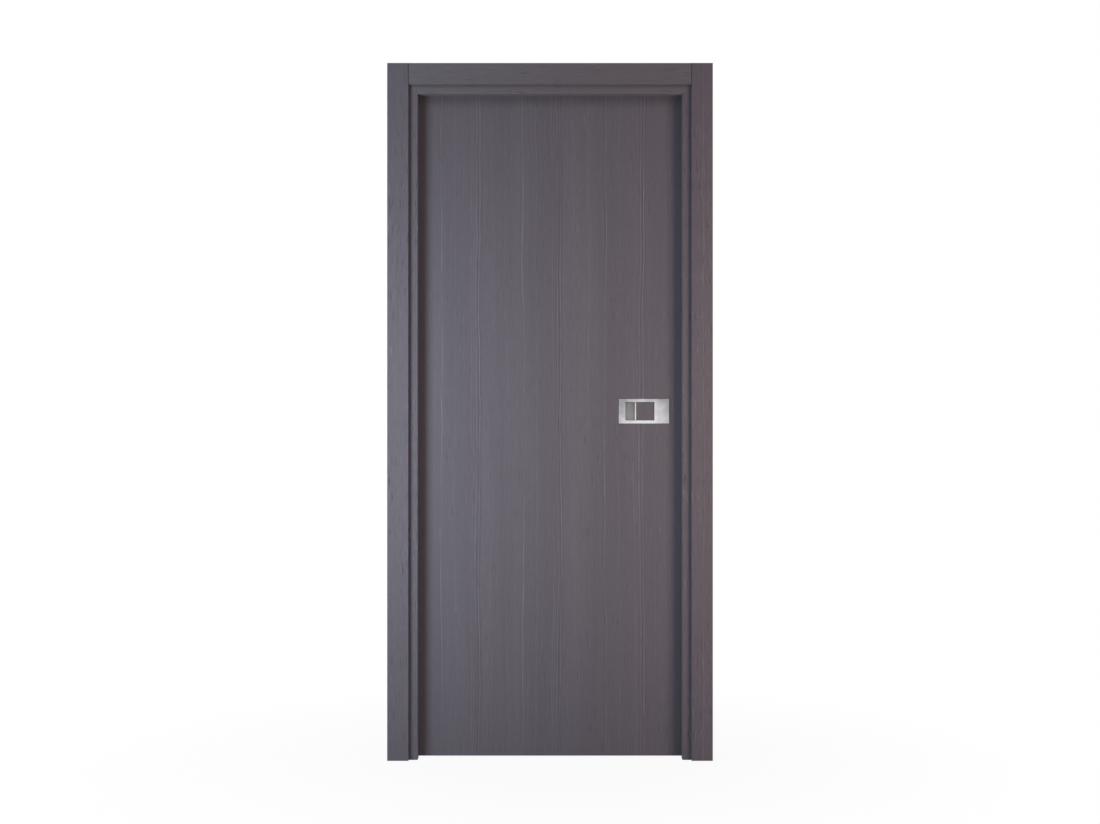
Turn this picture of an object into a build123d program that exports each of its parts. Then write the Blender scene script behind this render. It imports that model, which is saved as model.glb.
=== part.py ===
from build123d import *
import os

# Interior door set, millimetres: a mitred rebated frame with flat casings on both faces, a flush
# veneered leaf hung on lift-off hinges, and a flush pull handle on each face of the leaf.
# X runs across the doorway from the outer face of the hinge jamb, Y runs from the face that shows
# the stops to the face that shows the hinges, Z runs up from the floor.
# Each frame member is a thick front board, the stop, with a thinner liner behind it.

# Leaf
LEAF_WIDTH = 825.0
LEAF_HEIGHT = 2025.0
LEAF_THICKNESS = 44.0
SKIN_THICKNESS = 4.0
STILE_WIDTH = 40.0
RAIL_HEIGHT = 70.0
LEAF_ARRIS = 0.8

# Running gaps round the leaf
FLOOR_GAP = 4.0
EDGE_GAP = 5.0
STOP_GAP = 5.0

# Frame
JAMB_THICKNESS = 40.0
JAMB_DEPTH = 90.0
STOP_OVERLAP = 11.5
FRAME_ARRIS = 1.0

# Casings
CASING_WIDTH = 64.0
CASING_THICKNESS = 15.0
CASING_REVEAL = 27.0
TONGUE_THICKNESS = 5.0
TONGUE_LENGTH = 14.0
TONGUE_INSET = 3.5
TONGUE_CLEARANCE = 0.3

# Rebate seal
SEAL_INSET = 8.0
SEAL_STEM_THICKNESS = 3.0
SEAL_STEM_LENGTH = 6.0
SEAL_BULB_WIDTH = 8.0
SEAL_CLEARANCE = 0.5

# Hinges
HINGE_HEIGHT = 100.0
HINGE_PLATE_WIDTH = 32.0
HINGE_PLATE_THICKNESS = 2.5
HINGE_PLATE_CORNER = 6.0
HINGE_END_INSET = 200.0
KNUCKLE_RADIUS = 6.5
KNUCKLE_ARRIS = 1.0
PIN_RADIUS = 4.0
PIN_CLEARANCE = 0.05
PIN_CAP = 4.0
PIN_STANDOFF = 10.0
BEARING_GAP = 0.3
PLATE_SETBACK = 0.5

# Lock
FOREND_WIDTH = 20.0
FOREND_HEIGHT = 196.0
FOREND_THICKNESS = 3.0
BOLT_WIDTH = 14.0
BOLT_HEIGHT = 38.0
BOLT_LENGTH = 11.0
BOLT_PROJECTION = 0.8
BOLT_CLEARANCE = 0.3
STRIKE_WIDTH = 26.0
STRIKE_HEIGHT = 160.0
STRIKE_THICKNESS = 2.5
STRIKE_WINDOW_MARGIN = 2.0
STRIKE_POCKET_DEPTH = 12.0
POCKET_CLEARANCE = 0.1

# Flush handle
HANDLE_CENTRE_HEIGHT = 1056.5
HANDLE_EDGE_INSET = 48.0
PLATE_WIDTH = 155.0
PLATE_HEIGHT = 75.5
PLATE_THICKNESS = 2.5
PLATE_BEVEL = 0.8
WINDOW_INSET = 21.5
WINDOW_HEIGHT = 56.0
WINDOW_BEVEL = 0.5
FINGER_GAP = 28.0
CUP_DEPTH = 17.0
CUP_WALL = 1.5
CUP_SCOOP = 8.0
CUP_CLEARANCE = 0.3
LIP_WIDTH = 4.0
LIP_ROUND = 1.2
PADDLE_WIDTH = 57.5
PADDLE_THICKNESS = 6.0
PADDLE_END_GAP = 1.0
PADDLE_PIVOT_GAP = 2.0
INLAY_THICKNESS = 2.4
INLAY_SETBACK = 0.8
TRUNNION_RADIUS = 1.3
TRUNNION_INSET = 2.5
TRUNNION_CLEARANCE = 0.05

# Places worked out from the sizes above
FRAME_WIDTH = LEAF_WIDTH - 2 * STOP_OVERLAP + 2 * JAMB_THICKNESS
STOP_HEAD = FLOOR_GAP + LEAF_HEIGHT - STOP_OVERLAP
FRAME_HEIGHT = STOP_HEAD + JAMB_THICKNESS
REBATE_THICKNESS = JAMB_THICKNESS - STOP_OVERLAP - EDGE_GAP
CASING_OVERLAP = JAMB_THICKNESS - CASING_REVEAL
CASING_TOP = FRAME_HEIGHT - CASING_OVERLAP + CASING_WIDTH

FRAME_FRONT = -JAMB_DEPTH / 2
FRAME_BACK = JAMB_DEPTH / 2
LEAF_BACK = FRAME_BACK
LEAF_FRONT = LEAF_BACK - LEAF_THICKNESS
STOP_BACK = LEAF_FRONT - STOP_GAP

LEAF_LEFT = REBATE_THICKNESS + EDGE_GAP
LEAF_RIGHT = LEAF_LEFT + LEAF_WIDTH
LEAF_TOP = FLOOR_GAP + LEAF_HEIGHT
STRIKE_REBATE = FRAME_WIDTH - REBATE_THICKNESS

HINGE_AXIS_X = REBATE_THICKNESS + EDGE_GAP / 2
HINGE_AXIS_Y = LEAF_BACK + PIN_STANDOFF
HINGE_HEIGHTS = {
    "upper": LEAF_TOP - HINGE_END_INSET,
    "middle": FLOOR_GAP + LEAF_HEIGHT / 2,
    "lower": FLOOR_GAP + HINGE_END_INSET,
}

PLATE_RIGHT = LEAF_RIGHT - HANDLE_EDGE_INSET
PLATE_LEFT = PLATE_RIGHT - PLATE_WIDTH
PLATE_FRONT = LEAF_FRONT - PLATE_THICKNESS
WINDOW_LEFT = PLATE_LEFT + WINDOW_INSET
WINDOW_RIGHT = WINDOW_LEFT + FINGER_GAP + PADDLE_WIDTH + PADDLE_PIVOT_GAP
CUP_FLOOR = PLATE_FRONT + CUP_DEPTH
PADDLE_LEFT = WINDOW_LEFT + FINGER_GAP
PADDLE_RIGHT = PADDLE_LEFT + PADDLE_WIDTH
PADDLE_BACK = PLATE_FRONT + PADDLE_THICKNESS
TRAY_FRONT = PLATE_FRONT + INLAY_SETBACK + INLAY_THICKNESS
TRUNNION_X = PADDLE_RIGHT - TRUNNION_INSET
TRUNNION_Y = (TRAY_FRONT + PADDLE_BACK) / 2
LEAF_MIDDLE = Plane(origin=(0, (LEAF_FRONT + LEAF_BACK) / 2, 0), z_dir=(0, 1, 0))


def block(x, y, z):
    """A rectangular solid between the low and high values given for each axis."""
    low = Vector(x[0], y[0], z[0])
    size = Vector(x[1], y[1], z[1]) - low
    return Pos(low) * Box(size.X, size.Y, size.Z, align=(Align.MIN, Align.MIN, Align.MIN))


def about(centre, width):
    """The low and high values of a width laid evenly about a centre."""
    return (centre - width / 2, centre + width / 2)


def rectangle(u, v):
    """A flat rectangle between the low and high values given for each direction."""
    return Pos((u[0] + u[1]) / 2, (v[0] + v[1]) / 2) * Rectangle(u[1] - u[0], v[1] - v[0])


# Runs of the frame. A section is drawn with its first direction from the outer face of the jamb
# towards the doorway and its second direction along Y, and each run carries it along one side.
MITRES = {
    "hinge": Plane(origin=(0, 0, FRAME_HEIGHT), z_dir=(1, 0, 1)),
    "strike": Plane(origin=(FRAME_WIDTH, 0, FRAME_HEIGHT), z_dir=(-1, 0, 1)),
}
RUNS = {
    "hinge": (Plane(origin=(0, 0, 0), x_dir=(1, 0, 0), z_dir=(0, 0, 1)), FRAME_HEIGHT),
    "strike": (
        Plane(origin=(FRAME_WIDTH, 0, FRAME_HEIGHT), x_dir=(-1, 0, 0), z_dir=(0, 0, -1)),
        FRAME_HEIGHT,
    ),
    "head": (Plane(origin=(0, 0, FRAME_HEIGHT), x_dir=(0, 0, -1), z_dir=(1, 0, 0)), FRAME_WIDTH),
}


def mitred_run(section, side):
    """The section carried along one side of the frame and mitred where the sides meet."""
    plane, length = RUNS[side]
    run = extrude(plane * section, amount=length)
    if side == "head":
        for mitre in MITRES.values():
            run = split(run, bisect_by=mitre, keep=Keep.TOP)
        return run
    return split(run, bisect_by=MITRES[side], keep=Keep.BOTTOM)


TONGUE_SPAN = (CASING_OVERLAP - TONGUE_INSET - TONGUE_THICKNESS, CASING_OVERLAP - TONGUE_INSET)
GROOVE_SPAN = (TONGUE_SPAN[0] - TONGUE_CLEARANCE, TONGUE_SPAN[1] + TONGUE_CLEARANCE)
GROOVE_DEPTH = TONGUE_LENGTH + TONGUE_CLEARANCE
SEAL_CENTRE = JAMB_THICKNESS - SEAL_INSET


def stop_section():
    """Front board of a frame member, which the leaf closes behind: casing groove and seal kerf."""
    board = rectangle((0, JAMB_THICKNESS), (FRAME_FRONT, STOP_BACK))
    board = fillet(board.vertices().group_by(Axis.X)[-1], FRAME_ARRIS)
    board -= rectangle(GROOVE_SPAN, (FRAME_FRONT, FRAME_FRONT + GROOVE_DEPTH))
    kerf = rectangle(about(SEAL_CENTRE, SEAL_STEM_THICKNESS), (STOP_BACK - SEAL_STEM_LENGTH, STOP_BACK))
    return board - kerf


def liner_section():
    """Thinner board behind the stop, which leaves the rebate the leaf shuts into: casing groove."""
    board = rectangle((0, REBATE_THICKNESS), (STOP_BACK, FRAME_BACK))
    open_corner = board.vertices().group_by(Axis.Y)[-1].sort_by(Axis.X)[-1]
    board = fillet(open_corner, FRAME_ARRIS)
    return board - rectangle(GROOVE_SPAN, (FRAME_BACK - GROOVE_DEPTH, FRAME_BACK))


def seal_section():
    """Rubber seal: a stem in the kerf and a bulb that stands just short of the closed leaf."""
    stem = rectangle(about(SEAL_CENTRE, SEAL_STEM_THICKNESS), (STOP_BACK - SEAL_STEM_LENGTH, STOP_BACK))
    bulb_height = STOP_GAP - SEAL_CLEARANCE
    bulb = Pos(SEAL_CENTRE, STOP_BACK) * Ellipse(SEAL_BULB_WIDTH / 2, bulb_height)
    bulb &= rectangle(about(SEAL_CENTRE, SEAL_BULB_WIDTH), (STOP_BACK, LEAF_FRONT))
    return stem + bulb


def casing_section():
    """Flat casing board on the front face, with its two outer arrises eased."""
    across = (CASING_OVERLAP - CASING_WIDTH, CASING_OVERLAP)
    board = rectangle(across, (FRAME_FRONT - CASING_THICKNESS, FRAME_FRONT))
    return fillet(board.vertices().group_by(Axis.Y)[0], FRAME_ARRIS)


def side_casing():
    """Hinge side casing of the front face, full height, with its tongue in the stop's groove."""
    board = extrude(casing_section(), amount=CASING_TOP)
    tongue_top = FRAME_HEIGHT - GROOVE_SPAN[1]
    tongue = block(TONGUE_SPAN, (FRAME_FRONT, FRAME_FRONT + TONGUE_LENGTH), (0, tongue_top))
    return board + tongue


def head_casing():
    """Head casing of the front face, butted between the two side casings."""
    plane, _ = RUNS["head"]
    start = Pos(CASING_OVERLAP, 0, 0)
    length = FRAME_WIDTH - 2 * CASING_OVERLAP
    board = extrude(start * (plane * casing_section()), amount=length)
    tongue = block(
        (CASING_OVERLAP, FRAME_WIDTH - CASING_OVERLAP),
        (FRAME_FRONT, FRAME_FRONT + TONGUE_LENGTH),
        (FRAME_HEIGHT - TONGUE_SPAN[1], FRAME_HEIGHT - TONGUE_SPAN[0]),
    )
    return board + tongue


def casings():
    """The six casing boards, named by face and side."""
    middle = Plane(origin=(FRAME_WIDTH / 2, 0, 0), z_dir=(1, 0, 0))
    front = {"hinge": side_casing(), "head": head_casing()}
    front["strike"] = mirror(front["hinge"], about=middle)
    boards = {}
    for side, board in front.items():
        boards[f"front_{side}_casing"] = board
        boards[f"back_{side}_casing"] = mirror(board, about=Plane.XZ)
    return boards


# Hinge plates lie flush in the hinge liner and in the leaf's edge, and share one pin axis
HINGE_PLATE_EDGE = LEAF_BACK - HINGE_PLATE_WIDTH
FRAME_PLATE_X = (REBATE_THICKNESS - HINGE_PLATE_THICKNESS, REBATE_THICKNESS)
LEAF_PLATE_X = (LEAF_LEFT, LEAF_LEFT + HINGE_PLATE_THICKNESS)


def hinge_plate(plate_x, height, outer_edge, clearance=0.0):
    """A hinge plate with its two inner corners rounded, or its pocket, grown by a clearance."""
    plate = block(
        plate_x,
        (HINGE_PLATE_EDGE - clearance, outer_edge),
        about(height, HINGE_HEIGHT + 2 * clearance),
    )
    inner_corners = plate.edges().filter_by(Axis.X).group_by(Axis.Y)[0]
    return fillet(inner_corners, HINGE_PLATE_CORNER)


def hinge_mortises(plate_x):
    """The shallow pockets that all the hinge plates on one side lie in."""
    return Part() + [
        hinge_plate(plate_x, height, LEAF_BACK, POCKET_CLEARANCE) for height in HINGE_HEIGHTS.values()
    ]


def knuckle(low, high):
    """A hinge barrel on the pin axis, with its ends eased."""
    place = Pos(HINGE_AXIS_X, HINGE_AXIS_Y, low)
    barrel = Cylinder(KNUCKLE_RADIUS, high - low, align=(Align.CENTER, Align.CENTER, Align.MIN))
    return place * chamfer(barrel.edges().filter_by(GeomType.CIRCLE), KNUCKLE_ARRIS)


def pin(low, high, radius):
    """A round on the pin axis: the pin itself or, wider, the bore that turns on it."""
    place = Pos(HINGE_AXIS_X, HINGE_AXIS_Y, low)
    return place * Cylinder(radius, high - low, align=(Align.CENTER, Align.CENTER, Align.MIN))


def hinge_half(plate_x, height, barrel):
    """One plate with its barrel. The plate reaches the pin axis only beside its own barrel."""
    outer_edge = LEAF_BACK - PLATE_SETBACK
    web = block(plate_x, (outer_edge, HINGE_AXIS_Y), barrel)
    return hinge_plate(plate_x, height, outer_edge) + web + knuckle(*barrel)


def hinges():
    """Both halves of each hinge: the lower barrel and pin on the frame, the upper one on the leaf."""
    halves = {}
    for name, height in HINGE_HEIGHTS.items():
        low, high = about(height, HINGE_HEIGHT)
        pin_top = high - PIN_CAP
        frame_half = hinge_half(FRAME_PLATE_X, height, (low, height - BEARING_GAP / 2))
        frame_half += pin(low + KNUCKLE_ARRIS, pin_top - BEARING_GAP, PIN_RADIUS)
        leaf_half = hinge_half(LEAF_PLATE_X, height, (height + BEARING_GAP / 2, high))
        leaf_half -= pin(low, pin_top, PIN_RADIUS + PIN_CLEARANCE)
        halves[f"{name}_hinge_frame_half"] = frame_half
        halves[f"{name}_hinge_leaf_half"] = leaf_half
    return halves


# The lock's forend and the strike plate lie at the handle's height, at the middle of the leaf
LOCK_Y = (LEAF_FRONT + LEAF_BACK) / 2


def round_ended_plate(width, height, x, clearance=0.0):
    """A plate across X with half-round ends at the lock's place, or its pocket, grown all round."""
    outline = Plane(origin=(x[0], LOCK_Y, HANDLE_CENTRE_HEIGHT), x_dir=(0, 0, 1), z_dir=(1, 0, 0))
    shape = SlotOverall(height + 2 * clearance, width + 2 * clearance)
    return extrude(outline * shape, amount=x[1] - x[0])


def bolt_window(clearance, x):
    """A block the size of the latch bolt, grown by a clearance on each side."""
    return block(
        x,
        about(LOCK_Y, BOLT_WIDTH + 2 * clearance),
        about(HANDLE_CENTRE_HEIGHT, BOLT_HEIGHT + 2 * clearance),
    )


FOREND_X = (LEAF_RIGHT - FOREND_THICKNESS, LEAF_RIGHT)
BOLT_X = (LEAF_RIGHT + BOLT_PROJECTION - BOLT_LENGTH, LEAF_RIGHT + BOLT_PROJECTION)
STRIKE_X = (STRIKE_REBATE, STRIKE_REBATE + STRIKE_THICKNESS)
STRIKE_POCKET_X = (STRIKE_REBATE, STRIKE_X[1] + STRIKE_POCKET_DEPTH)


def lock():
    """The forend in the leaf's edge, the magnetic latch bolt drawn in behind it, and the strike."""
    forend = round_ended_plate(FOREND_WIDTH, FOREND_HEIGHT, FOREND_X)
    forend -= bolt_window(BOLT_CLEARANCE, FOREND_X)
    bolt = bolt_window(0, BOLT_X)
    bolt = chamfer(bolt.faces().sort_by(Axis.X)[-1].edges(), BOLT_PROJECTION / 2)
    strike = round_ended_plate(STRIKE_WIDTH, STRIKE_HEIGHT, STRIKE_X)
    strike -= bolt_window(STRIKE_WINDOW_MARGIN, STRIKE_X)
    return {"lock_forend": forend, "latch_bolt": bolt, "strike_plate": strike}


def jambs():
    """The stop and the liner of each frame member, the liners cut for the hinges and for the strike."""
    stop, liner = stop_section(), liner_section()
    boards = {}
    for side in RUNS:
        boards[f"{side}_jamb_stop"] = mitred_run(stop, side)
        boards[f"{side}_jamb_liner"] = mitred_run(liner, side)
    boards["hinge_jamb_liner"] -= hinge_mortises(FRAME_PLATE_X)
    strike_pocket = round_ended_plate(STRIKE_WIDTH, STRIKE_HEIGHT, STRIKE_X, POCKET_CLEARANCE)
    bolt_pocket = bolt_window(STRIKE_WINDOW_MARGIN, STRIKE_POCKET_X)
    boards["strike_jamb_liner"] -= strike_pocket + bolt_pocket
    return boards


def seals():
    """One seal along each frame member."""
    section = seal_section()
    return {f"{side}_seal": mitred_run(section, side) for side in RUNS}


# The leaf is a wooden border between two skins, hollow where only its honeycomb filling lies
LEAF_Z = (FLOOR_GAP, LEAF_TOP)
BORDER_Y = (LEAF_FRONT + SKIN_THICKNESS, LEAF_BACK - SKIN_THICKNESS)
CUP_X = (WINDOW_LEFT - CUP_WALL, WINDOW_RIGHT + CUP_WALL)
CUP_Z = about(HANDLE_CENTRE_HEIGHT, WINDOW_HEIGHT + 2 * CUP_WALL)


def skin():
    """The front skin: a veneered sheet with its arrises eased and the handle's cut-out."""
    sheet = block((LEAF_LEFT, LEAF_RIGHT), (LEAF_FRONT, BORDER_Y[0]), LEAF_Z)
    sheet = fillet(sheet.faces().sort_by(Axis.Y)[0].edges(), LEAF_ARRIS)
    return sheet - block(
        (CUP_X[0] - CUP_CLEARANCE, CUP_X[1] + CUP_CLEARANCE),
        (LEAF_FRONT, BORDER_Y[0]),
        (CUP_Z[0] - CUP_CLEARANCE, CUP_Z[1] + CUP_CLEARANCE),
    )


def leaf():
    """The leaf's skins, stiles and rails, cut for the hinges and the lock."""
    inner_x = (LEAF_LEFT + STILE_WIDTH, LEAF_RIGHT - STILE_WIDTH)
    mortises = hinge_mortises(LEAF_PLATE_X)
    front = skin()
    lock_stile = block((inner_x[1], LEAF_RIGHT), BORDER_Y, LEAF_Z)
    lock_stile -= round_ended_plate(FOREND_WIDTH, FOREND_HEIGHT, FOREND_X, POCKET_CLEARANCE)
    lock_stile -= bolt_window(BOLT_CLEARANCE, (BOLT_X[0], LEAF_RIGHT))
    return {
        "leaf_front_skin": front,
        "leaf_back_skin": mirror(front, about=LEAF_MIDDLE) - mortises,
        "leaf_hinge_stile": block((LEAF_LEFT, inner_x[0]), BORDER_Y, LEAF_Z) - mortises,
        "leaf_lock_stile": lock_stile,
        "leaf_top_rail": block(inner_x, BORDER_Y, (LEAF_TOP - RAIL_HEIGHT, LEAF_TOP)),
        "leaf_bottom_rail": block(inner_x, BORDER_Y, (FLOOR_GAP, FLOOR_GAP + RAIL_HEIGHT)),
    }


def trunnions(radius, reach):
    """A round on the paddle's pivot axis, reaching as far as given to each side of its middle."""
    place = Pos(TRUNNION_X, TRUNNION_Y, HANDLE_CENTRE_HEIGHT)
    return place * Cylinder(radius, 2 * reach)


def handle_plate():
    """Face plate and finger cup in one casting, with a window for the fingers and the paddle."""
    plate = block(
        (PLATE_LEFT, PLATE_RIGHT),
        (PLATE_FRONT, LEAF_FRONT),
        about(HANDLE_CENTRE_HEIGHT, PLATE_HEIGHT),
    )
    plate = chamfer(plate.faces().sort_by(Axis.Y)[0].edges(), PLATE_BEVEL)
    cup = block(CUP_X, (LEAF_FRONT, CUP_FLOOR + CUP_WALL), CUP_Z)
    window_z = about(HANDLE_CENTRE_HEIGHT, WINDOW_HEIGHT)
    hollow = block((WINDOW_LEFT, WINDOW_RIGHT), (PLATE_FRONT, CUP_FLOOR), window_z)
    scoop_edge = hollow.faces().sort_by(Axis.Y)[-1].edges().sort_by(Axis.X)[0]
    hollow = fillet(scoop_edge, CUP_SCOOP)
    casting = plate + cup - hollow
    mouth = casting.faces().sort_by(Axis.Y)[0].inner_wires()[0]
    casting = chamfer(mouth.edges(), WINDOW_BEVEL)
    return casting - trunnions(TRUNNION_RADIUS + TRUNNION_CLEARANCE, WINDOW_HEIGHT / 2 + CUP_WALL)


PADDLE_Z = about(HANDLE_CENTRE_HEIGHT, WINDOW_HEIGHT - 2 * PADDLE_END_GAP)
INLAY_X = (PADDLE_LEFT + LIP_WIDTH, PADDLE_RIGHT)


def paddle():
    """Metal tray with a raised finger lip, turning on two trunnions at its far end."""
    lip = block((PADDLE_LEFT, INLAY_X[0]), (PLATE_FRONT, PADDLE_BACK), PADDLE_Z)
    outer_edges = lip.faces().sort_by(Axis.X)[0].edges().filter_by(Axis.Z)
    lip = fillet(outer_edges, LIP_ROUND)
    tray = block(INLAY_X, (TRAY_FRONT, PADDLE_BACK), PADDLE_Z)
    return lip + tray + trunnions(TRUNNION_RADIUS, WINDOW_HEIGHT / 2 + CUP_WALL - TRUNNION_CLEARANCE)


def inlay():
    """Veneered insert that fills the paddle's tray."""
    return block(INLAY_X, (PLATE_FRONT + INLAY_SETBACK, TRAY_FRONT), PADDLE_Z)


def handles():
    """The handle on each face of the leaf, the back one mirrored through the leaf."""
    pieces = {}
    front = {"handle_plate": handle_plate(), "paddle": paddle(), "paddle_inlay": inlay()}
    for name, piece in front.items():
        pieces[f"front_{name}"] = piece
        pieces[f"back_{name}"] = mirror(piece, about=LEAF_MIDDLE)
    return pieces


def door_set():
    """Every node of the door set, by name."""
    return {**jambs(), **casings(), **seals(), **hinges(), **lock(), **leaf(), **handles()}


os.makedirs("parts", exist_ok=True)
for node, solid in door_set().items():
    export_step(solid, f"parts/{node}.step")
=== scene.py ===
import math

import bmesh
import bpy
from mathutils import Matrix, Vector


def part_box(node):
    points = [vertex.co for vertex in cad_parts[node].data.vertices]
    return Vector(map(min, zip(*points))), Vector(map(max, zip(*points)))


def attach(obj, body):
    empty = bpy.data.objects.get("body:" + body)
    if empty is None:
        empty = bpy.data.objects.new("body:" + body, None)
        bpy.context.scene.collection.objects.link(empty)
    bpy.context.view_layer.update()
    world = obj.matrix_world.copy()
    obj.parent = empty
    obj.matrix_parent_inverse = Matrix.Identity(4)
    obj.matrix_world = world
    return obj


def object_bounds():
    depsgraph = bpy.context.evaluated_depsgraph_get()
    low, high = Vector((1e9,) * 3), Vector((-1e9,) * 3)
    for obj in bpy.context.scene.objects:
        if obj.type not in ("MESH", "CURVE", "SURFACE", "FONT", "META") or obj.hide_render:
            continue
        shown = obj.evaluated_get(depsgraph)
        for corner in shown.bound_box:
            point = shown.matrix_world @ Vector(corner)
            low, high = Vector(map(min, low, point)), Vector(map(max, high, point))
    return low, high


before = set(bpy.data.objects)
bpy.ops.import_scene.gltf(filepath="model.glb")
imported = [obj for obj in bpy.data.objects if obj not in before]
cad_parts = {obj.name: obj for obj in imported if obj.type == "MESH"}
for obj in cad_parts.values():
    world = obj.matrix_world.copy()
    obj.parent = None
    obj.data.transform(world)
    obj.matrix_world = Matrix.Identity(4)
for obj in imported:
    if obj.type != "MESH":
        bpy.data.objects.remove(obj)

cad_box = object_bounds()

# Jamb stops: the thick front boards of the frame, which the leaf closes behind. They are fibreboard
# wrapped in an open-grained veneer under a matt grey stain, and left bare on the side turned to the
# wall. The grain runs along each board, and the boards are mitred at the head and glued.
VENEER_DARK = (0.060, 0.053, 0.061, 1.0)
VENEER_MIDDLE = (0.117, 0.107, 0.121, 1.0)
VENEER_LIGHT = (0.205, 0.190, 0.208, 1.0)
HEAD_TINT = (1.11, 1.12, 1.07)
BOARD_DARK = (0.215, 0.168, 0.122, 1.0)
BOARD_LIGHT = (0.330, 0.268, 0.200, 1.0)
BOARD_MOTTLE_SCALE = 420.0
FACE_MARGIN = 0.0004
WORN_WIDTH = 0.0012
JOINT_HALF_WIDTH = 0.0020
STRIP_WIDTH = 250.5
STRIP_SLIDE = 0.71
STRIP_FIGURE = (
    (0.0, 0.42), (1.2, 0.50), (30.5, 0.50), (32.0, 0.60), (33.5, 0.50), (77.0, 0.50), (79.0, 0.62),
    (81.0, 0.50), (124.0, 0.50), (126.0, 0.30), (129.0, 0.90), (131.5, 0.50), (168.0, 0.50),
    (170.0, 0.62), (172.0, 0.50), (218.0, 0.50), (220.0, 0.80), (222.0, 0.40), (224.5, 0.50),
    (226.5, 0.74), (229.0, 0.36), (232.0, 0.50), (235.0, 0.84), (237.5, 0.40), (241.0, 0.24),
    (244.5, 1.00), (247.5, 0.20), (249.5, 0.50),
)
SLOW_SWAY, SLOW_SWAY_REACH = (0.300, 0.650), 0.030
QUICK_SWAY, QUICK_SWAY_REACH = (0.060, 0.240), 0.011
FADING = (0.012, 0.330)
FIBRE = (0.0011, 0.065)
GROWTH = (0.0055, 0.600)
BROAD_TONE = (0.110, 1.600)
FLECKS = (0.0027, 0.055)
FLECK_ZONES = (0.070, 0.350)
PORES = (0.00045, 0.011)
LINE_SHARE, GROWTH_SHARE, BROAD_SHARE, FIBRE_SHARE = 0.72, 0.14, 0.22, 0.20
LIGHT_FLECK_SHARE, DARK_FLECK_SHARE, PORE_SHARE = 0.20, -0.28, -0.20
WORN_SHARE, JOINT_PAINTED_SHADE_SHARE = 0.16, -0.9
FIBRE_HEIGHT, PORE_HEIGHT, GRAIN_DEPTH, GRAIN_RELIEF = 0.45, -1.0, 0.0003, 0.35
SMOOTH_FIBRE, ROUGH_FIBRE, ROUGHER_PORES, ROUGHER_BOARD = 0.46, 0.60, 0.20, 0.30
STAIN_SHINE = 0.10


class Finish:
    """One material's nodes, with short ways to add and join them."""

    def __init__(self, name):
        self.material = bpy.data.materials.new(name)
        self.material.use_nodes = True
        self.tree = self.material.node_tree
        self.tree.nodes.clear()
        self.output = self.tree.nodes.new("ShaderNodeOutputMaterial")

    def add(self, kind, inputs=None, **settings):
        made = self.tree.nodes.new("ShaderNode" + kind)
        for name, value in settings.items():
            setattr(made, name, value)
        for key, value in (inputs or {}).items():
            if isinstance(value, bpy.types.NodeSocket):
                self.tree.links.new(value, made.inputs[key])
            else:
                made.inputs[key].default_value = value
        return made

    def math(self, operation, *values):
        return self.add("Math", dict(enumerate(values)), operation=operation).outputs[0]

    def span(self, value, low, high, to_low=0.0, to_high=1.0):
        made = self.add("MapRange", {0: value, 1: low, 2: high, 3: to_low, 4: to_high})
        return made.outputs[0]

    def noise(self, x, y, z, detail):
        place = self.add("CombineXYZ", {0: x, 1: y, 2: z}).outputs[0]
        return self.cloud(place, 1.0, detail)

    def cloud(self, place, scale, detail):
        made = self.add("TexNoise", {"Vector": place, "Scale": scale, "Detail": detail})
        return made.outputs[0]

    def ramp(self, value, stops):
        made = self.add("ValToRGB", {0: value})
        band = made.color_ramp
        while len(band.elements) < len(stops):
            band.elements.new(0.5)
        for element, (place, colour) in zip(band.elements, stops):
            element.position = place
            element.color = colour
        return made.outputs[0]

    def bump(self, height, strength, distance):
        made = self.add("Bump", {"Strength": strength, "Distance": distance, "Height": height})
        return made.outputs[0]

    def close(self, surface):
        self.tree.links.new(surface, self.output.inputs["Surface"])
        return self.material


def wall_side(finish, x, y, z):
    """Marks the faces of the frame boards that are turned to the wall and left bare."""
    left, right, top = (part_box(side + "_jamb_stop") for side in ("hinge", "strike", "head"))
    beyond = finish.math("MAXIMUM", finish.math("LESS_THAN", x, left[0].x + FACE_MARGIN),
                         finish.math("GREATER_THAN", x, right[1].x - FACE_MARGIN))
    beyond = finish.math("MAXIMUM", beyond, finish.math("GREATER_THAN", z, top[1].z - FACE_MARGIN))
    within = finish.math("LESS_THAN", finish.math("ABSOLUTE", y), -left[0].y + FACE_MARGIN)
    return finish.math("MULTIPLY", beyond, within)


def casing_joint_painted_shade(finish, x, z):
    """Marks the eased joint where the head casing is butted between the side casings, which the veneer
    darkens as painted shade.
    """
    low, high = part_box("front_head_casing")
    from_joint = finish.math("MINIMUM", finish.math("ABSOLUTE", finish.math("SUBTRACT", x, low.x)),
                             finish.math("ABSOLUTE", finish.math("SUBTRACT", x, high.x)))
    return finish.math("MULTIPLY", finish.span(from_joint, JOINT_HALF_WIDTH, 0.0),
                       finish.math("GREATER_THAN", z, low.z))


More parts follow.
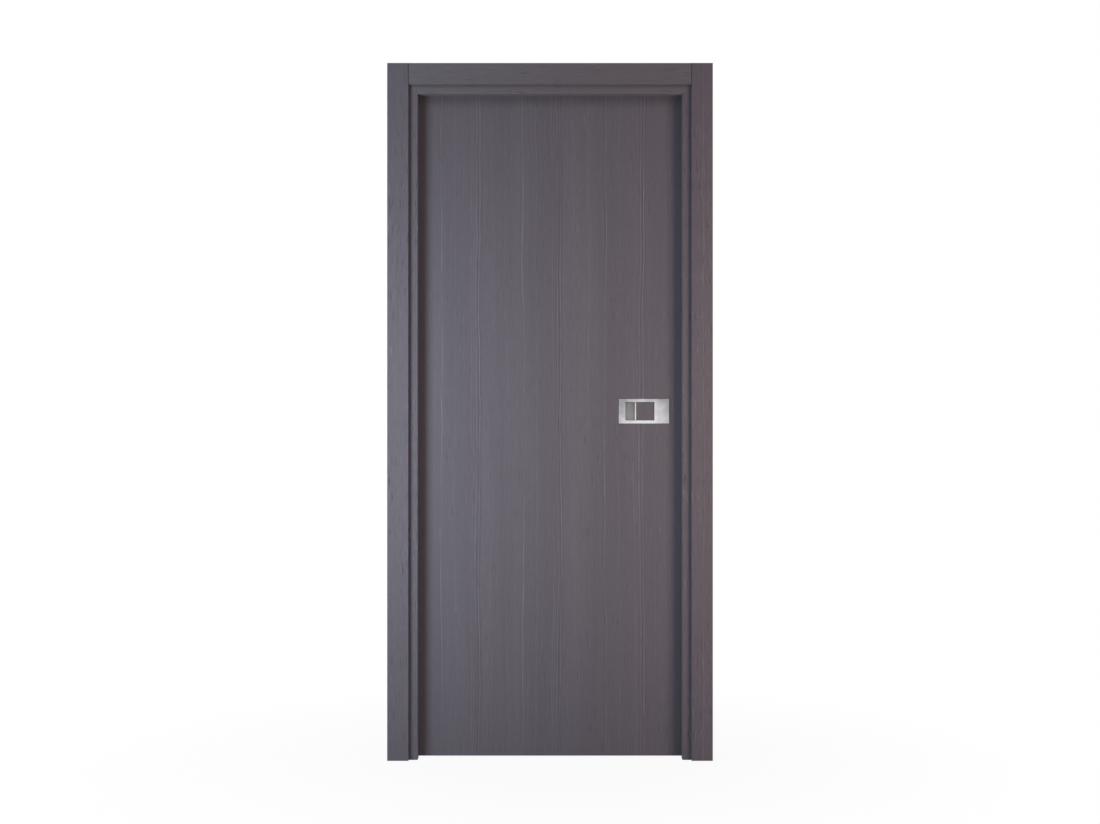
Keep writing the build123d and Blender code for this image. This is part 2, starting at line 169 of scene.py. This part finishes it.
def veneer(name, along, shift, seed, flecked=1.0, tint=(1.0, 1.0, 1.0), on_frame=True):
    """Stained veneer laid in strips of one width, each with the same growth lines near its edge.

    The strip's figure gives each line's place across the strip in millimetres, and its tone from
    dark at 0 to light at 1. Boards of the frame are bare towards the wall and darkened at the casing
    joint as painted shade.
    """
    finish = Finish(name)
    where = finish.add("TexCoord").outputs["Object"]
    x, y, z = finish.add("SeparateXYZ", {0: where}).outputs
    run, face = (z, x) if along == "Z" else (x, z)

    def streaks(across, size, layer, detail=2.0):
        """Noise drawn out along the grain, from its pitch across the grain and length along it."""
        pitch, length = size
        return finish.noise(
            finish.math("DIVIDE", across, pitch), finish.math("DIVIDE", run, length), layer, detail)

    def add(total, value, share):
        return finish.math("MULTIPLY_ADD", value, share, total)

    def sway(total, value, share):
        return add(total, finish.math("SUBTRACT", value, 0.5), share)

    across = finish.math("ADD", finish.math("ADD", face, y), shift)
    across = sway(across, streaks(across, SLOW_SWAY, seed), SLOW_SWAY_REACH)
    across = sway(across, streaks(across, QUICK_SWAY, seed + 1.0), QUICK_SWAY_REACH)

    strips = finish.math("DIVIDE", across, STRIP_WIDTH / 1000.0)
    slide = add(seed, finish.math("FLOOR", strips), STRIP_SLIDE)
    figure = finish.ramp(finish.math("FRACT", strips), [
        (place / STRIP_WIDTH, (level, level, level, 1.0)) for place, level in STRIP_FIGURE])
    fading = finish.span(streaks(across, FADING, slide, 3.0), 0.34, 0.62, 0.1, 1.0)
    fibre = streaks(across, FIBRE, seed, 3.0)
    lines = finish.math("MULTIPLY", finish.math("SUBTRACT", figure, 0.5), fading)
    lines = finish.math("MULTIPLY", lines, finish.span(fibre, 0.30, 0.70, 0.35, 1.65))

    growth = streaks(across, GROWTH, slide, 3.0)
    broad = streaks(across, BROAD_TONE, slide)
    flecks = streaks(across, FLECKS, seed + 3.0)
    fleck_zone = finish.span(
        streaks(across, FLECK_ZONES, seed + 4.0), 0.35, 0.65, 0.25 * flecked, flecked)
    dark_flecks = finish.math("MULTIPLY", finish.span(flecks, 0.40, 0.27), fleck_zone)
    light_flecks = finish.math("MULTIPLY", finish.span(flecks, 0.61, 0.75), fleck_zone)
    pores = finish.span(streaks(across, PORES, seed + 5.0, 1.0), 0.60, 0.72)

    round_normal = finish.add("Bevel", {"Radius": WORN_WIDTH}, samples=4).outputs[0]
    flat_normal = finish.add("NewGeometry").outputs["Normal"]
    square = finish.add("VectorMath", {0: round_normal, 1: flat_normal}, operation="DOT_PRODUCT")
    worn = finish.math("MULTIPLY", finish.span(square.outputs["Value"], 0.99, 0.86),
                       finish.span(growth, 0.40, 0.62))

    tone = sway(0.5, growth, GROWTH_SHARE)
    tone = sway(tone, broad, BROAD_SHARE)
    tone = sway(tone, fibre, FIBRE_SHARE)
    tone = add(tone, lines, LINE_SHARE)
    tone = add(tone, light_flecks, LIGHT_FLECK_SHARE)
    tone = add(tone, dark_flecks, DARK_FLECK_SHARE)
    tone = add(tone, pores, PORE_SHARE)
    tone = add(tone, worn, WORN_SHARE)
    if on_frame:
        # Painted shade darkens the veneer in the groove of the casing joint.
        tone = add(tone, casing_joint_painted_shade(finish, x, z), JOINT_PAINTED_SHADE_SHARE)
    stains = [[*(part * share for part, share in zip(stain, tint)), 1.0]
              for stain in (VENEER_DARK, VENEER_MIDDLE, VENEER_LIGHT)]
    colour = finish.ramp(tone, list(zip((0.0, 0.5, 1.0), stains)))
    rough = add(finish.span(fibre, 0.25, 0.75, SMOOTH_FIBRE, ROUGH_FIBRE), pores, ROUGHER_PORES)
    if on_frame:
        bare = wall_side(finish, x, y, z)
        mottle = finish.cloud(where, BOARD_MOTTLE_SCALE, 4.0)
        board = finish.ramp(mottle, [(0.30, BOARD_DARK), (0.70, BOARD_LIGHT)])
        colour = finish.add("MixRGB", {0: bare, 1: colour, 2: board}).outputs[0]
        rough = add(rough, bare, ROUGHER_BOARD)
    height = add(finish.math("MULTIPLY", fibre, FIBRE_HEIGHT), pores, PORE_HEIGHT)
    shader = finish.add("BsdfPrincipled", {
        "Base Color": colour,
        "Roughness": rough,
        "Specular IOR Level": STAIN_SHINE,
        "Normal": finish.bump(height, GRAIN_RELIEF, GRAIN_DEPTH),
    })
    return finish.close(shader.outputs[0])


def dress(node, material):
    """Gives one solid of the frame its finish."""
    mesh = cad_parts[node].data
    mesh.materials.clear()
    mesh.materials.append(material)


hinge_side_veneer = veneer("hinge_side_veneer", "Z", 0.118, 2.0, flecked=2.6)
strike_side_veneer = veneer("strike_side_veneer", "Z", 0.037, 7.0, flecked=2.3)
head_veneer = veneer("head_veneer", "X", 0.061, 11.0, flecked=1.7, tint=HEAD_TINT)
dress("hinge_jamb_stop", hinge_side_veneer)
dress("strike_jamb_stop", strike_side_veneer)
dress("head_jamb_stop", head_veneer)

# Jamb liners: the thinner boards glued behind the stops, which leave the rebate for the leaf.
# They carry the hinges and the strike, and are wrapped in the same veneer as the stops.
dress("hinge_jamb_liner", hinge_side_veneer)
dress("strike_jamb_liner", strike_side_veneer)
dress("head_jamb_liner", head_veneer)

# Casings: flat veneered boards with a tongue pushed into the groove of the frame, on both faces of
# the wall. The side boards run through to the top and the head board is butted between them.
for face in ("front", "back"):
    dress(face + "_hinge_casing", hinge_side_veneer)
    dress(face + "_strike_casing", strike_side_veneer)
    dress(face + "_head_casing", head_veneer)

# Rebate seals: extruded rubber bulbs with a stem pressed into the kerf of each stop, so that the
# leaf closes softly. The rubber is dull, dark and faintly mottled.
SEAL_DARK = (0.012, 0.012, 0.013, 1.0)
SEAL_LIGHT = (0.024, 0.024, 0.026, 1.0)
SEAL_MOTTLE_SCALE = 260.0
seal_finish = Finish("seal_rubber")
seal_where = seal_finish.add("TexCoord").outputs["Object"]
seal_mottle = seal_finish.cloud(seal_where, SEAL_MOTTLE_SCALE, 4.0)
seal_shader = seal_finish.add("BsdfPrincipled", {
    "Base Color": seal_finish.ramp(seal_mottle, [(0.3, SEAL_DARK), (0.7, SEAL_LIGHT)]),
    "Roughness": seal_finish.span(seal_mottle, 0.3, 0.7, 0.55, 0.75),
    "Normal": seal_finish.bump(seal_mottle, 0.2, 0.0002),
})
seal_rubber = seal_finish.close(seal_shader.outputs[0])
for side in ("hinge", "strike", "head"):
    dress(side + "_seal", seal_rubber)

# Hinges: lift-off hinges of pressed steel plate and turned barrels, plated with satin nickel.
# Each plate lies flush in its pocket under four countersunk screws with a cross recess.
FITTING_GREYS = ((0.420, 0.421, 0.424, 1.0), (0.600, 0.602, 0.606, 1.0))
SCREW_GREYS = ((0.360, 0.363, 0.368, 1.0), (0.540, 0.545, 0.550, 1.0))
# Painted shade: the faces inside each cross recess get these darker greys.
RECESS_PAINTED_SHADE_GREYS = ((0.050, 0.051, 0.053, 1.0), (0.090, 0.092, 0.094, 1.0))
BRUSH_ALONG, BRUSH_ACROSS = 18.0, 2400.0
HANDLING_SCALE = 38.0
BRUSH_RELIEF, BRUSH_DEPTH = 0.12, 0.00005
SCREW_RADIUS = 0.0036
SCREW_RISE = 0.0003
RECESS_REACH = 0.0021
RECESS_HALF_WIDTH = 0.00055
RECESS_DEPTH = 0.0009
SCREW_SEGMENTS = 28
SCREW_ROWS = ((-0.038, 0.021), (-0.014, 0.036), (0.014, 0.021), (0.038, 0.036))


def satin_metal(name, greys, brushed, rough, seed):
    """Plated metal with fine brush marks along one axis and soft cloudy handling marks."""
    finish = Finish(name)
    where = finish.add("TexCoord").outputs["Object"]
    stretch = tuple(BRUSH_ALONG if axis == brushed else BRUSH_ACROSS for axis in "XYZ")
    lines_at = finish.add("Mapping", {"Vector": where, "Scale": stretch}).outputs[0]
    lines = finish.cloud(lines_at, 1.0, 3.0)
    marks = finish.add("TexNoise", {"Vector": where, "Scale": HANDLING_SCALE, "Detail": 3.0, "W": seed},
                       noise_dimensions="4D").outputs[0]
    tone = finish.math("MULTIPLY_ADD", finish.math("SUBTRACT", lines, 0.5), 0.5, marks)
    brushing = finish.span(lines, 0.3, 0.7, rough - 0.12, rough)
    shader = finish.add("BsdfPrincipled", {
        "Base Color": finish.ramp(tone, [(0.25, greys[0]), (0.75, greys[1])]),
        "Metallic": 1.0,
        "Roughness": finish.math("MULTIPLY_ADD", marks, 0.14, brushing),
        "Normal": finish.bump(lines, BRUSH_RELIEF, BRUSH_DEPTH),
    })
    return finish.close(shader.outputs[0])


def screw_head(mesh, place, facing):
    """One low countersunk head with a cross recess, lying on a plate that faces along X."""
    turn = Matrix(((0.0, 0.0, facing), (facing, 0.0, 0.0), (0.0, 1.0, 0.0))).to_4x4()
    to_plate = Matrix.Translation(place) @ turn

    def ring(radius, height):
        steps = [2.0 * math.pi * step / SCREW_SEGMENTS for step in range(SCREW_SEGMENTS)]
        points = [Vector((radius * math.cos(a), radius * math.sin(a), height)) for a in steps]
        return [mesh.verts.new(to_plate @ point) for point in points]

    def cross(reach, half, height):
        points = [
            (half, half), (half, reach), (-half, reach), (-half, half), (-reach, half), (-reach, -half),
            (-half, -half), (-half, -reach), (half, -reach), (half, -half), (reach, -half), (reach, half),
        ]
        return [mesh.verts.new(to_plate @ Vector((u, v, height))) for u, v in points]

    def skin(lower, upper):
        made = []
        for step in range(len(lower)):
            after = (step + 1) % len(lower)
            made.append(mesh.faces.new((lower[step], lower[after], upper[after], upper[step])))
        return made

    base = ring(SCREW_RADIUS, -SCREW_RISE)
    rim = ring(SCREW_RADIUS, SCREW_RISE * 0.5)
    crown = ring(SCREW_RADIUS - SCREW_RISE, SCREW_RISE)
    mouth = cross(RECESS_REACH, RECESS_HALF_WIDTH, SCREW_RISE)
    pit = cross(RECESS_REACH * 0.75, RECESS_HALF_WIDTH * 0.7, SCREW_RISE - RECESS_DEPTH)
    skin(base, rim)
    skin(rim, crown)
    recess = skin(list(reversed(mouth)), list(reversed(pit)))
    recess.append(mesh.faces.new(pit))
    # Painted shade: the recess faces take the second material, a darker grey.
    for face in recess:
        face.material_index = 1
    edges = []
    for loop in (crown, mouth):
        for step, vert in enumerate(loop):
            after = loop[(step + 1) % len(loop)]
            edges.append(mesh.edges.get((vert, after)) or mesh.edges.new((vert, after)))
    bmesh.ops.triangle_fill(mesh, edges=edges, use_beauty=True, use_dissolve=False)


def screws(name, body, places, facing):
    """A plate's screws as one piece that moves with the plate's body."""
    mesh = bmesh.new()
    for place in places:
        screw_head(mesh, place, facing)
    bmesh.ops.recalc_face_normals(mesh, faces=mesh.faces)
    data = bpy.data.meshes.new(name)
    mesh.to_mesh(data)
    mesh.free()
    data.materials.append(screw_steel)
    data.materials.append(screw_recess_painted_shade)
    piece = bpy.data.objects.new(name, data)
    bpy.context.scene.collection.objects.link(piece)
    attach(piece, body)


fitting_steel = satin_metal("fitting_steel", FITTING_GREYS, "Z", 0.40, 1.0)
screw_steel = satin_metal("screw_steel", SCREW_GREYS, "Y", 0.38, 3.0)
screw_recess_painted_shade = satin_metal("screw_recess_painted_shade", RECESS_PAINTED_SHADE_GREYS, "Y", 0.55, 4.0)
liner_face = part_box("hinge_jamb_liner")[1].x
stile_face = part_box("leaf_hinge_stile")[0].x
for level in ("upper", "middle", "lower"):
    for body, plate_face, facing in (("frame", liner_face, 1.0), ("leaf", stile_face, -1.0)):
        hinge = f"{level}_hinge_{body}_half"
        dress(hinge, fitting_steel)
        low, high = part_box(hinge)
        middle = (low.z + high.z) / 2
        places = [Vector((plate_face, y, middle + z)) for z, y in SCREW_ROWS]
        screws(f"{level}_hinge_{body}_screws", body, places, facing)

# Strike plate: satin nickel on steel, let in flush in the strike liner with two screws.
# The latch bolt is drawn into its window by a magnet once the leaf is shut.
STRIKE_SCREW_REACH = 0.060
dress("strike_plate", fitting_steel)
low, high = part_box("strike_plate")
middle = (low + high) / 2
strike_places = [
    Vector((low.x, middle.y, middle.z + z)) for z in (-STRIKE_SCREW_REACH, STRIKE_SCREW_REACH)]
screws("strike_plate_screws", "frame", strike_places, -1.0)

# Leaf: a wooden border between two thin skins, faced and edged with the same stained veneer.
# The strips of veneer stand upright and repeat their lines across the leaf.
leaf_veneer = veneer("leaf_veneer", "Z", 0.0195, 0.0, on_frame=False)
for board in ("front_skin", "back_skin", "hinge_stile", "lock_stile", "top_rail", "bottom_rail"):
    dress("leaf_" + board, leaf_veneer)

# Lock: the satin nickel forend of a magnetic lock in the leaf's edge, with its bolt drawn in.
# Two countersunk screws hold the forend in its round-ended pocket.
FOREND_SCREW_REACH = 0.084
dress("lock_forend", fitting_steel)
dress("latch_bolt", fitting_steel)
low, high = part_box("lock_forend")
middle = (low + high) / 2
forend_places = [
    Vector((high.x, middle.y, middle.z + z)) for z in (-FOREND_SCREW_REACH, FOREND_SCREW_REACH)]
screws("lock_forend_screws", "leaf", forend_places, 1.0)

# Handle plates: zinc castings with a finger cup, plated with satin chrome and brushed across.
# Each is let into the leaf. Painted reflection makes its lower edge lighter, and painted shade makes its
# two ends darker.
# The plating's darkest and lightest greys carry the painted reflection and shade as well as its random
# tone.
PLATING_PAINTED_SHADE = (0.360, 0.351, 0.367, 1.0)
PLATING_MIDDLE = (0.681, 0.660, 0.676, 1.0)
PLATING_PAINTED_LIGHT = (0.985, 0.970, 0.985, 1.0)
# Painted shade: the cup inside the window is given this darker grey. It is also made rougher.
CUP_PAINTED_SHADE_GREY = (0.600, 0.594, 0.590, 1.0)
PLATE_BRUSH_ALONG, PLATE_BRUSH_ACROSS = 22.0, 2600.0
PLATE_CLOUD_SCALE = 34.0
RISE_PAINTED_REFLECTION_SHARE, ASIDE_PAINTED_SHADE_SHARE, BRUSH_SHARE = -0.22, -0.42, 0.30
PLATE_WINDOW_HALF = 0.0320
CUP_SHALLOW, CUP_DEEP = 0.0215, 0.0150
CUP_ROUGHER = 0.50
plating = Finish("handle_metal")
plate_where = plating.add("TexCoord").outputs["Object"]
plate_x, plate_y, plate_z = plating.add("SeparateXYZ", {0: plate_where}).outputs
low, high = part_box("front_handle_plate")
plate_middle = (low + high) / 2
plate_half = (high - low) / 2
leaf_middle = (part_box("leaf_front_skin")[0].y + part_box("leaf_back_skin")[1].y) / 2
rise = plating.math("DIVIDE", plating.math("SUBTRACT", plate_z, plate_middle.z), plate_half.z)
brush = plating.noise(
    plating.math("MULTIPLY", plate_x, PLATE_BRUSH_ALONG),
    plating.math("MULTIPLY", plate_z, PLATE_BRUSH_ACROSS),
    plating.math("MULTIPLY", plate_y, PLATE_BRUSH_ACROSS), 3.0)
cloud = plating.cloud(plate_where, PLATE_CLOUD_SCALE, 2.0)
from_window = plating.span(
    plating.math("ABSOLUTE", plating.math("SUBTRACT", plate_x, plate_middle.x)),
    PLATE_WINDOW_HALF, plate_half.x)
# Painted reflection and shade: lighter towards the lower edge and darker towards the ends, over a random
# cloudy tone and the brush marks.
tone_and_painted_reflection = plating.math(
    "MULTIPLY_ADD", rise, RISE_PAINTED_REFLECTION_SHARE, plating.span(cloud, 0.25, 0.75, 0.30, 0.70))
tone_and_painted_reflection = plating.math("MULTIPLY_ADD", from_window, ASIDE_PAINTED_SHADE_SHARE, tone_and_painted_reflection)
tone_and_painted_reflection = plating.math("MULTIPLY_ADD", plating.math("SUBTRACT", brush, 0.5), BRUSH_SHARE, tone_and_painted_reflection)
plated = plating.ramp(tone_and_painted_reflection, [(0.0, PLATING_PAINTED_SHADE), (0.5, PLATING_MIDDLE), (1.0, PLATING_PAINTED_LIGHT)])
from_middle = plating.math("ABSOLUTE", plating.math("SUBTRACT", plate_y, leaf_middle))
# This cup mask darkens the colour as painted shade and also roughens the surface.
depth = plating.span(from_middle, CUP_SHALLOW, CUP_DEEP)
plate_rough = plating.math("MULTIPLY_ADD", cloud, 0.12, plating.span(brush, 0.3, 0.7, 0.24, 0.36))
plating_shader = plating.add("BsdfPrincipled", {
    "Base Color": plating.add("MixRGB", {0: depth, 1: plated, 2: CUP_PAINTED_SHADE_GREY}).outputs[0],
    "Metallic": 1.0,
    "Roughness": plating.math("MULTIPLY_ADD", depth, CUP_ROUGHER, plate_rough),
    "Normal": plating.bump(brush, BRUSH_RELIEF, BRUSH_DEPTH),
})
handle_metal = plating.close(plating_shader.outputs[0])
dress("front_handle_plate", handle_metal)
dress("back_handle_plate", handle_metal)

# Paddles: plated trays with a bright finger lip, sprung shut on two trunnions at their far end.
# A veneered insert, cut from the same stained veneer as the leaf, fills each tray.
inlay_veneer = veneer("inlay_veneer", "Z", 0.090, 17.0, flecked=1.6, on_frame=False)
for face in ("front", "back"):
    dress(face + "_paddle", handle_metal)
    dress(face + "_paddle_inlay", inlay_veneer)

# Floor and ground: a plain pale studio floor that takes the door's shadow and looks white to the
# camera, under a white surround. The surround also fills the shadows with a little cool light.
FLOOR_GREY = (0.42, 0.42, 0.42, 1.0)
GROUND_WHITE = (1.0, 1.0, 1.0, 1.0)
FLOOR_HALF = 14.0
FLOOR_DROP = 0.001
SHADOW_REACH, WHITE_REACH = 0.45, 1.5
SHADOW_WHITE_SHARE = 0.94
FILL_COLOUR = (0.46, 0.64, 1.0, 1.0)
FILL_STRENGTH = 0.16
door_middle = (cad_box[0][0] + cad_box[1][0]) / 2
floor_finish = Finish("studio_floor")
rays = floor_finish.add("LightPath").outputs
seen = floor_finish.math(
    "MAXIMUM", rays["Is Camera Ray"],
    floor_finish.math("MAXIMUM", rays["Is Glossy Ray"], rays["Is Transmission Ray"]))
floor_where = floor_finish.add("TexCoord").outputs["Object"]
reach = floor_finish.add("VectorMath", {0: floor_where}, operation="LENGTH").outputs["Value"]
whiteness = floor_finish.span(reach, SHADOW_REACH, WHITE_REACH, SHADOW_WHITE_SHARE, 1.0)
floor_mix = floor_finish.add("MixShader", {
    0: floor_finish.math("MULTIPLY", seen, whiteness),
    1: floor_finish.add("BsdfDiffuse", {"Color": FLOOR_GREY}).outputs[0],
    2: floor_finish.add("Emission", {"Color": GROUND_WHITE, "Strength": 1.0}).outputs[0],
})
floor_mesh = bpy.data.meshes.new("studio_floor")
corners = [(-1.0, -1.0), (1.0, -1.0), (1.0, 1.0), (-1.0, 1.0)]
floor_mesh.from_pydata([(FLOOR_HALF * u, FLOOR_HALF * v, 0.0) for u, v in corners], [], [(0, 1, 2, 3)])
floor_mesh.materials.append(floor_finish.close(floor_mix.outputs[0]))
floor = bpy.data.objects.new("studio_floor", floor_mesh)
floor.location = (door_middle, 0.0, -FLOOR_DROP)
bpy.context.scene.collection.objects.link(floor)

world = bpy.data.worlds.new("studio_surround")
world.use_nodes = True
bpy.context.scene.world = world
surround = world.node_tree
surround.nodes.clear()
path = surround.nodes.new("ShaderNodeLightPath")
mirrored = surround.nodes.new("ShaderNodeMath")
mirrored.operation = "MAXIMUM"
surround.links.new(path.outputs["Is Glossy Ray"], mirrored.inputs[0])
surround.links.new(path.outputs["Is Transmission Ray"], mirrored.inputs[1])
shown = surround.nodes.new("ShaderNodeMath")
shown.operation = "MAXIMUM"
surround.links.new(path.outputs["Is Camera Ray"], shown.inputs[0])
surround.links.new(mirrored.outputs[0], shown.inputs[1])
fill = surround.nodes.new("ShaderNodeBackground")
fill.inputs["Color"].default_value = FILL_COLOUR
fill.inputs["Strength"].default_value = FILL_STRENGTH
white = surround.nodes.new("ShaderNodeBackground")
white.inputs["Color"].default_value = GROUND_WHITE
white.inputs["Strength"].default_value = 1.0
blend = surround.nodes.new("ShaderNodeMixShader")
surround.links.new(shown.outputs[0], blend.inputs[0])
surround.links.new(fill.outputs[0], blend.inputs[1])
surround.links.new(white.outputs[0], blend.inputs[2])
surround_out = surround.nodes.new("ShaderNodeOutputWorld")
surround.links.new(blend.outputs[0], surround_out.inputs["Surface"])

# Studio light: a cool softbox on the left and a warmer one on the right at mid height, a smaller one
# over each, and two plain ones behind that light the hinge face. Each has a place, a target, a size,
# a power and a colour, and none shows as a bright patch in the metal, which mirrors the white ground.
SOFTBOXES = {
    "left_softbox": ((-0.56, -0.95, 0.97), (0.05, 0.0, 0.98), (0.48, 1.2), 20.2, (0.80, 0.92, 1.0)),
    "right_softbox": ((1.58, -1.12, 0.96), (0.75, 0.0, 0.97), (0.60, 1.1), 15.9, (1.0, 0.76, 0.665)),
    "top_left_softbox": ((-0.64, -1.08, 2.60), (0.10, 0.0, 2.00), (0.55, 0.7), 6.4, (0.83, 0.92, 1.0)),
    "top_right_softbox": ((1.61, -1.17, 2.60), (0.75, 0.0, 2.00), (0.62, 0.7), 6.0, (1.0, 0.66, 0.62)),
    "back_left_softbox": ((-1.10, 1.80, 1.20), (0.25, 0.0, 1.05), (0.9, 1.3), 30.0, (1.0, 0.96, 0.92)),
    "back_right_softbox": ((1.95, 1.80, 1.20), (0.65, 0.0, 1.05), (0.9, 1.3), 30.0, (0.96, 0.98, 1.0)),
}
for name, (place, target, size, power, colour) in SOFTBOXES.items():
    lamp = bpy.data.lights.new(name, "AREA")
    lamp.shape = "RECTANGLE"
    lamp.size, lamp.size_y = size
    lamp.energy = power
    lamp.color = colour
    softbox = bpy.data.objects.new(name, lamp)
    softbox.location = place
    softbox.rotation_euler = (Vector(target) - Vector(place)).to_track_quat("-Z", "Y").to_euler()
    softbox.visible_camera = False
    softbox.visible_glossy = False
    bpy.context.scene.collection.objects.link(softbox)

# Camera: level and square to the door, at the height of its middle, as in the photo.
# It stands well back with a long lens, so that the frame's depth hardly shows.
LENS_LENGTH = 58.5
SENSOR_WIDTH = 36.0
CAMERA_DISTANCE = 5.46
CAMERA_HEIGHT = 1.054
lens = bpy.data.cameras.new("photo_camera")
lens.lens = LENS_LENGTH
lens.sensor_width = SENSOR_WIDTH
lens.sensor_fit = "HORIZONTAL"
camera = bpy.data.objects.new("photo_camera", lens)
camera.location = (door_middle, -CAMERA_DISTANCE, CAMERA_HEIGHT)
camera.rotation_euler = (math.radians(90.0), 0.0, 0.0)
bpy.context.scene.collection.objects.link(camera)
bpy.context.scene.camera = camera
bpy.context.scene.view_settings.view_transform = "Standard"
